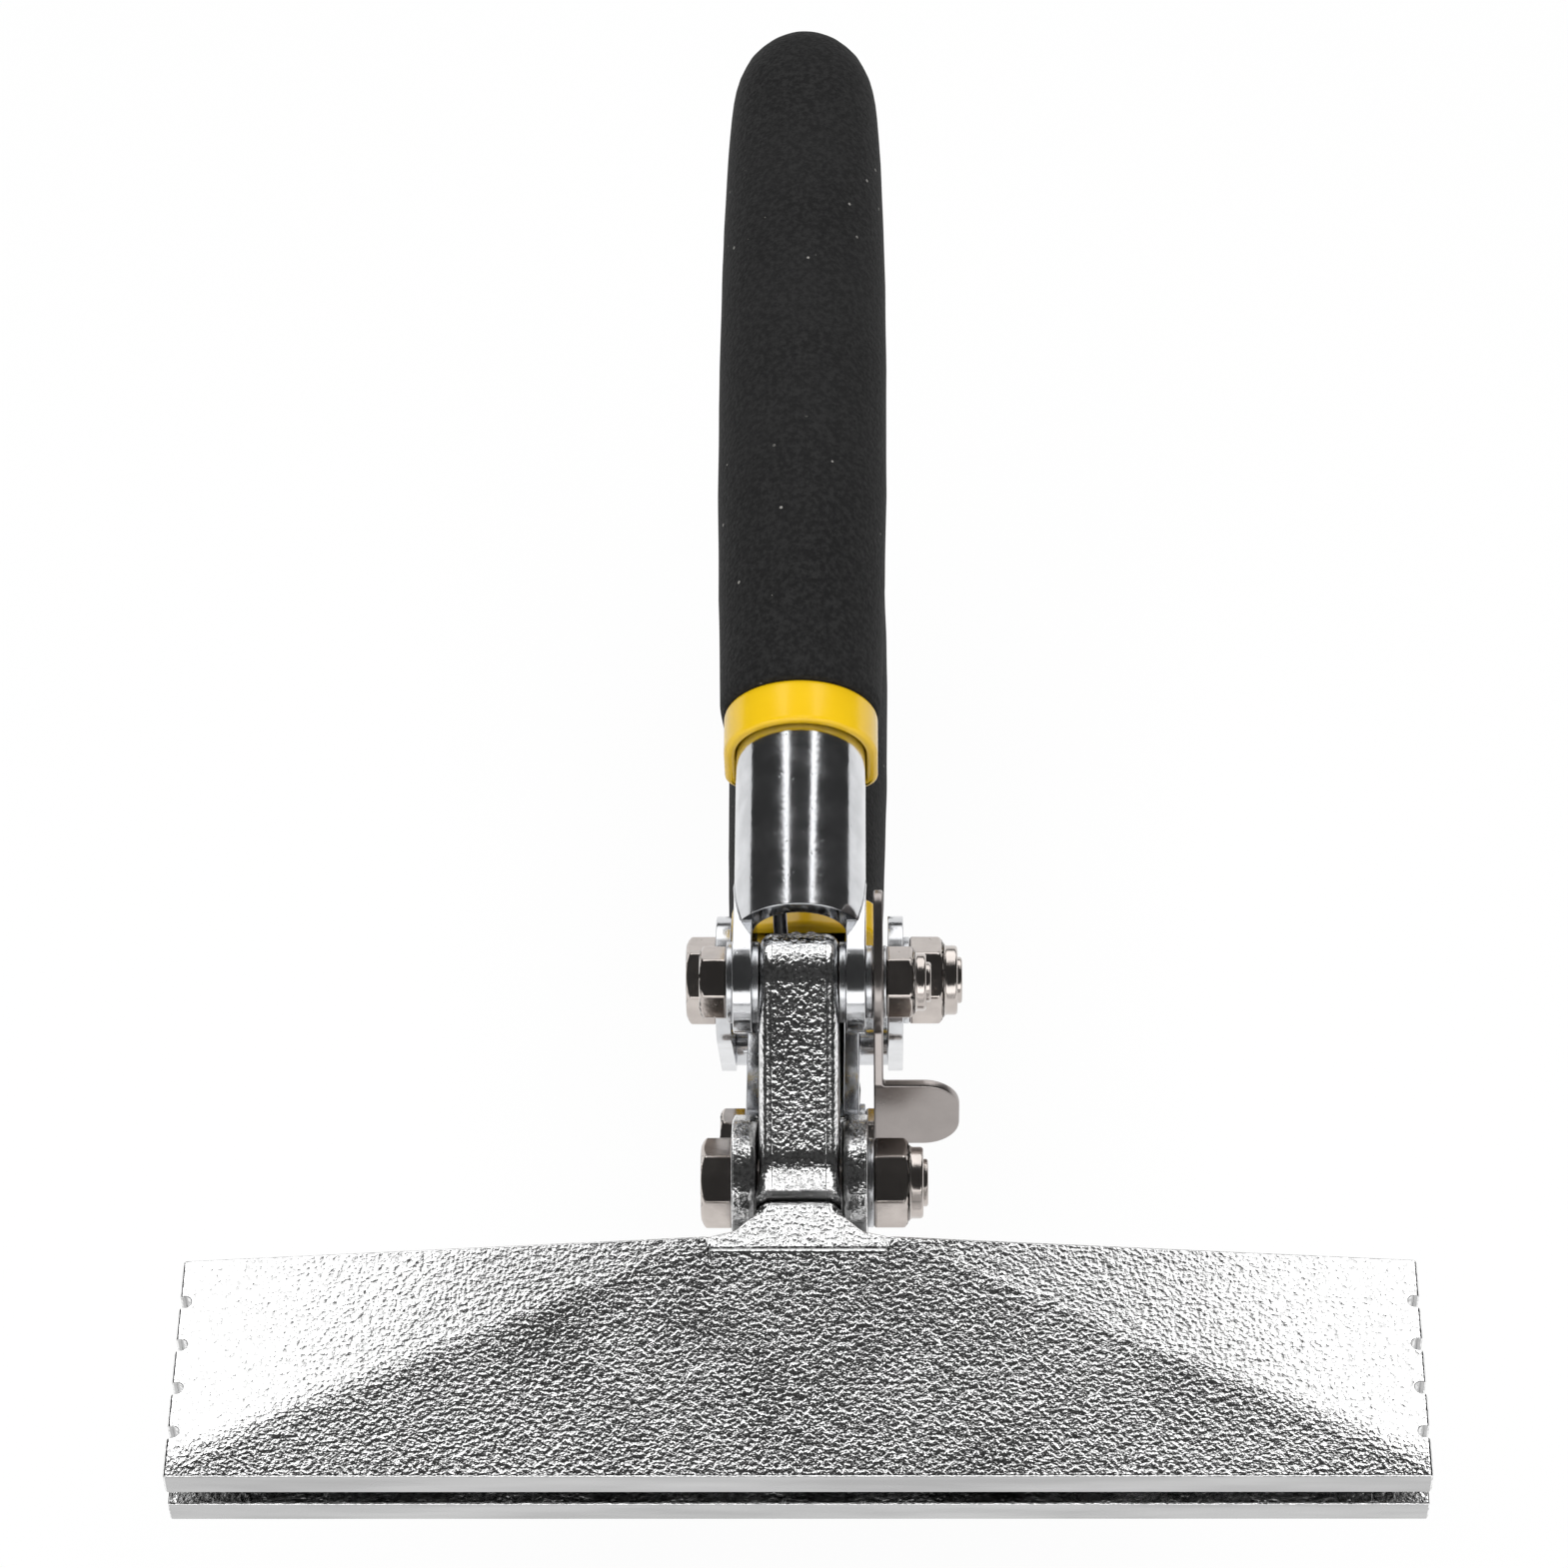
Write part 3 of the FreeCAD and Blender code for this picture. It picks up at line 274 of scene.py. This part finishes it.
def finished(node, body, material, width, weight=None, segments=3, part="", keep=None):
    """A copy of a CAD node, or of the part that keep picks, with its sharp edges broken."""
    mesh = nodes[node].data.copy()
    mesh.name = node + part + "_finished"
    mesh.materials.clear()
    mesh.materials.append(material)
    form = bmesh.new()
    form.from_mesh(mesh)
    bmesh.ops.remove_doubles(form, verts=form.verts, dist=SAME_POINT)
    if keep is not None:
        lost = [face for face in form.faces if not keep(face.calc_center_median())]
        bmesh.ops.delete(form, geom=lost, context="FACES")
        open_edges = [edge for edge in form.edges if edge.is_boundary]
        bmesh.ops.holes_fill(form, edges=open_edges, sides=0)
    bmesh.ops.dissolve_limit(form, angle_limit=FLAT, verts=form.verts, edges=form.edges)
    layer = form.edges.layers.float.new("bevel_weight_edge")
    for edge in form.edges:
        edge.smooth = True
        if len(edge.link_faces) != 2:
            continue
        if edge.calc_face_angle(0.0) < SHARP:
            continue
        middle = (edge.verts[0].co + edge.verts[1].co) / 2
        edge[layer] = 1.0 if weight is None else weight(middle, edge)
    for face in form.faces:
        face.smooth = True
    form.to_mesh(mesh)
    form.free()
    for name in ("custom_normal", "sharp_face", "sharp_edge"):
        if name in mesh.attributes:
            mesh.attributes.remove(mesh.attributes[name])
    piece = bpy.data.objects.new(mesh.name, mesh)
    scene.collection.objects.link(piece)
    bevel = piece.modifiers.new("broken_edges", "BEVEL")
    bevel.width = width
    bevel.segments = segments
    bevel.limit_method = "WEIGHT"
    bevel.use_clamp_overlap = False
    bevel.harden_normals = False
    bevel.miter_outer = "MITER_ARC"
    normals = piece.modifiers.new("even_normals", "WEIGHTED_NORMAL")
    normals.keep_sharp = True
    normals.weight = 100
    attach(piece, body)
    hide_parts(node)


TANG_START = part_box("upper_jaw")[0].y + 36 * MM
TANG_HALF = 6.2 * MM
NOTCHES_START = 73.5 * MM
NOTCH_FACET = 1.2 * MM


def jaw_edge(middle, edge):
    """The tang's long edges are broadly rounded, the jaw's own less, the notches' least."""
    on_tang = middle.y > TANG_START and abs(middle.x) < TANG_HALF
    in_notch = abs(middle.x) > NOTCHES_START and edge.calc_length() < NOTCH_FACET
    if in_notch:
        return 0.07
    return 1.0 if on_tang else 0.24


finished("upper_jaw", "upper_jaw", JAW, 1.7 * MM, jaw_edge, segments=5)
finished("lower_jaw", "lower_jaw", JAW, 1.1 * MM, jaw_edge)
finished("upper_handle", "upper_handle", HANDLE, 0.16 * MM, segments=2)
finished("lower_handle", "lower_handle", HANDLE, 0.16 * MM, segments=2)
finished("latch", "latch", LATCH, 0.28 * MM)
finished("upper_collar", "upper_handle", YELLOW, 0.6 * MM)
finished("lower_collar", "lower_handle", YELLOW, 0.6 * MM)
PIVOTS = {
    "jaw_pivot": "lower_jaw",
    "handle_pivot": "lower_handle",
    "upper_link": "upper_handle",
    "lower_link": "lower_handle",
}
for pivot, body in PIVOTS.items():
    finished(pivot + "_bolt", body, BOLT, 0.3 * MM)
    finished(pivot + "_nut", body, BOLT, 0.4 * MM)
    finished(pivot + "_washer", body, WASHER, 0.15 * MM)
    finished(pivot + "_nut_insert", body, NYLON, 0.15 * MM)
finished("handle_pivot_spacers", "lower_handle", WASHER, 0.15 * MM)
finished("spring_sleeve", "lower_handle", WASHER, 0.15 * MM)
finished("upper_link_shims", "upper_handle", WASHER, 0.1 * MM)
finished("latch_spacer", "upper_handle", WASHER, 0.15 * MM)
finished("latch_wave_washer", "upper_handle", WASHER, 0.1 * MM)

# the coil stays on its sleeve, and its upper leg turns about the same axis with the handle
# that it presses on
LEG_ANGLE = math.radians(50.0)
LEG_START_X = -2.16 * MM
# how far the leg moves sideways for each length along it, as the coil's pitch makes it
LEG_DRIFT = 0.0568
COIL_RADIUS = 5.45 * MM
# a little over half the wire
NEAR_LEG = 0.94 * MM
sleeve_low, sleeve_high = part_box("spring_sleeve")
coil_centre = (Vector(sleeve_low) + Vector(sleeve_high)) / 2


def on_upper_leg(spot):
    """Whether a point on the spring belongs to the straight leg under the upper handle."""
    away = spot - coil_centre
    along = away.y * math.cos(LEG_ANGLE) + away.z * math.sin(LEG_ANGLE)
    off = away.z * math.cos(LEG_ANGLE) - away.y * math.sin(LEG_ANGLE) - COIL_RADIUS
    aside = spot.x - LEG_START_X + LEG_DRIFT * along
    return along > 0 and math.hypot(aside, off) < NEAR_LEG


finished(
    "torsion_spring", "lower_handle", SPRING, 0.1 * MM,
    part="_coil", keep=lambda spot: not on_upper_leg(spot),
)
finished(
    "torsion_spring", "upper_handle", SPRING, 0.1 * MM,
    part="_upper_leg", keep=on_upper_leg,
)

# ---- foam grips ---------------------------------------------------------------------------

TILT = math.radians(9.0)
GRIP_START = 38.4 * MM
GRIP_TIP = 146.8 * MM
CHANNEL_END = 118.1 * MM
RISE = 1.05 * MM
CREST = 8.6 * MM
SKIRT = 6.5 * MM
AROUND = 72
# the foam over the channel's corners, where its swelling starts, and how far that spreads
OVER_CORNER = 0.75 * MM
SWELL_BEFORE = 14 * MM
SWELL_LENGTH = 13 * MM
SWELL_SPREAD = math.radians(20)
DENT = 0.10 * MM
# the grip's radius at distances from its tip
PROFILE = [
    (0.0, 0.0), (0.3, 1.7), (1.0, 3.5), (2.0, 5.1), (3.4, 6.7), (5.2, 8.0), (7.5, 9.0),
    (10.5, 9.72), (15.0, 10.15), (21.0, 10.45), (30.0, 10.8), (42.0, 11.05), (55.0, 11.18),
    (75.0, 11.12), (90.0, 10.85), (104.0, 10.52), (107.4, 10.42), (108.4, 9.9),
]


def profile_radius(distance):
    for (at, radius), (beyond, farther) in zip(PROFILE, PROFILE[1:]):
        if distance <= beyond * MM:
            share = (distance / MM - at) / (beyond - at)
            return (radius + (farther - radius) * share) * MM
    return PROFILE[-1][1] * MM


def channel_radius(angle, half):
    """How far the steel channel reaches from the grip's axis at an angle, with its fit."""
    across, up = math.cos(angle), math.sin(angle)
    centre = CREST - half - RISE
    floor = SKIRT + RISE
    reach = half / max(abs(across), 1e-9)
    if up < 0:
        return min(reach, floor / -up)
    if reach * up <= centre:
        return reach
    along = centre * up
    return along + math.sqrt(along * along - centre * centre + half * half)


def foam_grip(name, node, body, pivot, half, side, seed):
    """A domed foam sleeve over the handle's channel, slightly fuller in its middle."""
    origin = Vector(joints[pivot]["pos_m"])
    along = Vector((0, math.cos(TILT), side * math.sin(TILT)))
    up = Vector((0, -side * math.sin(TILT), math.cos(TILT))) * side
    steps = [0.12, 0.35, 0.75, 1.3, 2.1, 3.0, 4.1, 5.2, 6.6, 8.0, 9.7, 11.5, 14.0]
    steps += [17.0 + 2.0 * k for k in range(45)] + [106.2, 107.0, 107.5, 107.9, 108.2, 108.4]
    form = bmesh.new()

    def ring(distance, radius_at):
        centre = origin + along * (GRIP_TIP - distance) + up * RISE
        made = []
        for k in range(AROUND):
            turn = 2 * math.pi * k / AROUND
            radius = radius_at(turn)
            point = centre + Vector((1, 0, 0)) * (math.cos(turn) * radius)
            made.append(form.verts.new(point + up * (math.sin(turn) * radius)))
        return made

    # the foam swells over the two lower corners of the channel inside it
    corner = math.atan2(SKIRT + RISE, half)
    cover = math.hypot(half, SKIRT + RISE) + OVER_CORNER
    channel_tip = GRIP_TIP - CHANNEL_END

    def outer(distance):
        base = profile_radius(distance)
        reach = (distance - channel_tip + SWELL_BEFORE) / SWELL_LENGTH
        reach = min(1.0, max(0.0, reach))
        swell = max(0.0, cover - base) * reach * reach * (3 - 2 * reach)

        def radius_at(turn):
            spot = Vector((math.cos(turn) * 1.3, math.sin(turn) * 1.3, distance / MM * 0.09))
            away = (math.atan2(-math.sin(turn), abs(math.cos(turn))) - corner) / SWELL_SPREAD
            dent = abs(noise.noise(spot + Vector((seed, 0, 0)))) * DENT
            return base + swell * math.exp(-away * away) - dent
        return radius_at

    rings = [ring(step * MM, outer(step * MM)) for step in steps]
    inside = [GRIP_TIP - GRIP_START, (GRIP_TIP - GRIP_START + GRIP_TIP - CHANNEL_END) / 2]
    inside.append(GRIP_TIP - CHANNEL_END)
    for distance in inside:
        rings.append(ring(distance, lambda turn: channel_radius(turn, half + 0.1 * MM)))
    for first, second in zip(rings, rings[1:]):
        for k in range(AROUND):
            n = (k + 1) % AROUND
            form.faces.new((first[k], first[n], second[n], second[k]))
    form.faces.new(list(reversed(rings[0])))
    form.faces.new(rings[-1])
    bmesh.ops.recalc_face_normals(form, faces=form.faces)
    for face in form.faces:
        face.smooth = True
    mesh = bpy.data.meshes.new(name)
    form.to_mesh(mesh)
    form.free()
    mesh.materials.append(FOAM)
    grip = bpy.data.objects.new(name, mesh)
    scene.collection.objects.link(grip)
    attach(grip, body)
    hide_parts(node)


foam_grip("upper_foam_grip", "upper_grip", "upper_handle", "upper_link", 8.3 * MM, 1, 3.0)
foam_grip("lower_foam_grip", "lower_grip", "lower_handle", "lower_link", 7.35 * MM, -1, 11.0)

# ---- floor, world, lamps ------------------------------------------------------------------

floor_mesh = bpy.data.meshes.new("floor")
HALF_FLOOR = 4.0
# low enough for the lower handle at its widest opening
FLOOR_DROP = 56.0 * MM
floor_z = cad_low.z - FLOOR_DROP
corners = [(-1, -1), (1, -1), (1, 1), (-1, 1)]
floor_points = [(x * HALF_FLOOR, y * HALF_FLOOR, floor_z) for x, y in corners]
floor_mesh.from_pydata(floor_points, [], [(0, 1, 2, 3)])
floor = bpy.data.objects.new("floor", floor_mesh)
scene.collection.objects.link(floor)

floor_material, t = new_tree("pale_floor")
ray = t.add("ShaderNodeLightPath").outputs
seen = t.math("MAXIMUM", ray["Is Camera Ray"], ray["Is Glossy Ray"])
seen = t.math("MAXIMUM", seen, ray["Is Transmission Ray"])
mottled = t.ramp(t.noise(t.place(), 14.0, 3.0), 0.3, 0.7, 0.90, 0.92)
paint = t.add("ShaderNodeCombineColor", {0: mottled, 1: mottled, 2: mottled}).outputs[0]
matt = t.add("ShaderNodeBsdfDiffuse", {"Color": paint}).outputs[0]
glow = t.add("ShaderNodeEmission", {"Color": grey(1.0), "Strength": 1.0}).outputs[0]
share = t.math("MULTIPLY", seen, 0.93)
both = t.add("ShaderNodeMixShader", {0: share, 1: matt, 2: glow}).outputs[0]
t.add("ShaderNodeOutputMaterial", {"Surface": both})
floor_mesh.materials.append(floor_material)

world = bpy.data.worlds.new("studio")
scene.world = world
t = Tree(world)
way = t.add("ShaderNodeTexCoord").outputs["Generated"]
height = t.add("ShaderNodeSeparateXYZ", {0: way}).outputs["Z"]
# a dark room with a broad white screen behind the tool and a low one in front of it
across, depth_way = (t.add("ShaderNodeSeparateXYZ", {0: way}).outputs[k] for k in ("X", "Y"))
turned = t.math("ARCTAN2", across, depth_way)
off_rear = t.math("ABSOLUTE", turned)
rise = t.math("ARCSINE", height)


def patch(value, low, high, soft):
    """1 between two angles in degrees, with soft sides."""
    enter = t.ramp(value, math.radians(low - soft), math.radians(low + soft))
    leave = t.ramp(value, math.radians(high - soft), math.radians(high + soft), 1.0, 0.0)
    return t.math("MULTIPLY", enter, leave)


screen = t.math("MULTIPLY", patch(rise, 12, 60, 3), patch(off_rear, -90, 42, 5))
# a gap in the middle of the screen's top keeps the level faces round the pivots dark
gap = t.math("MULTIPLY", patch(rise, 47, 99, 2.5), patch(off_rear, -90, 7, 3))
screen = t.math("MULTIPLY", screen, t.math("SUBTRACT", 1.0, t.math("MULTIPLY", gap, 0.9)))
front = t.math("MULTIPLY", patch(rise, 4, 31, 3), patch(off_rear, 130, 260, 8))
below = t.ramp(height, -0.02, 0.0, 1.0, 0.0)
tent = t.math("ADD", t.math("MULTIPLY", screen, 1.7), t.math("MULTIPLY", front, 2.0))
tent = t.math("MAXIMUM", t.math("MAXIMUM", tent, 0.045), below)
ray = t.add("ShaderNodeLightPath").outputs
level = t.math("MAXIMUM", tent, ray["Is Camera Ray"])
shade = t.add("ShaderNodeCombineColor", {0: level, 1: level, 2: level}).outputs[0]
back = t.add("ShaderNodeBackground", {"Color": shade, "Strength": 1.0}).outputs[0]
t.add("ShaderNodeOutputWorld", {"Surface": back})


def lamp(name, way, distance, wide, tall, level, glossy=True):
    """A soft box that faces the tool. Level is its brightness as seen in a mirror."""
    data = bpy.data.lights.new(name, "AREA")
    data.shape = "RECTANGLE"
    data.size = wide
    data.size_y = tall
    data.energy = level * math.pi * wide * tall
    box = bpy.data.objects.new(name, data)
    scene.collection.objects.link(box)
    direction = Vector(way).normalized()
    box.location = direction * distance
    box.rotation_mode = "QUATERNION"
    box.rotation_quaternion = direction.to_track_quat("Z", "Y")
    box.visible_glossy = glossy
    box.visible_camera = False


lamp("left_strip", (-0.42, 0.40, 0.82), 1.0, 0.09, 0.42, 1.6)
lamp("right_strip", (0.42, 0.40, 0.82), 1.0, 0.09, 0.42, 1.6)
lamp("overhead_fill", (0.0, -0.25, 1.0), 1.4, 1.0, 1.0, 5.6, glossy=False)

# ---- camera -------------------------------------------------------------------------------

FRAME_PIXELS = 1569
FOCAL_PIXELS = 5443.8
DISTANCE = 0.725
AZIMUTH, ELEVATION, ROLL = (math.radians(v) for v in (1.70, 51.06, -1.48))
TARGET = Vector((-2.65, 5.89, 0.0)) * MM

camera_data = bpy.data.cameras.new("camera")
camera_data.sensor_width = 36.0
camera_data.lens = camera_data.sensor_width * FOCAL_PIXELS / FRAME_PIXELS
camera = bpy.data.objects.new("camera", camera_data)
scene.collection.objects.link(camera)
back_way = Vector((
    math.sin(AZIMUTH) * math.cos(ELEVATION),
    -math.cos(AZIMUTH) * math.cos(ELEVATION),
    math.sin(ELEVATION),
))
level_right = (-back_way).cross(Vector((0, 0, 1))).normalized()
level_up = level_right.cross(-back_way).normalized()
right = level_right * math.cos(ROLL) + level_up * math.sin(ROLL)
upward = level_up * math.cos(ROLL) - level_right * math.sin(ROLL)
turn = Matrix((right, upward, back_way)).transposed().to_4x4()
camera.matrix_world = Matrix.Translation(TARGET + back_way * DISTANCE) @ turn
scene.camera = camera
scene.view_settings.view_transform = "Standard"
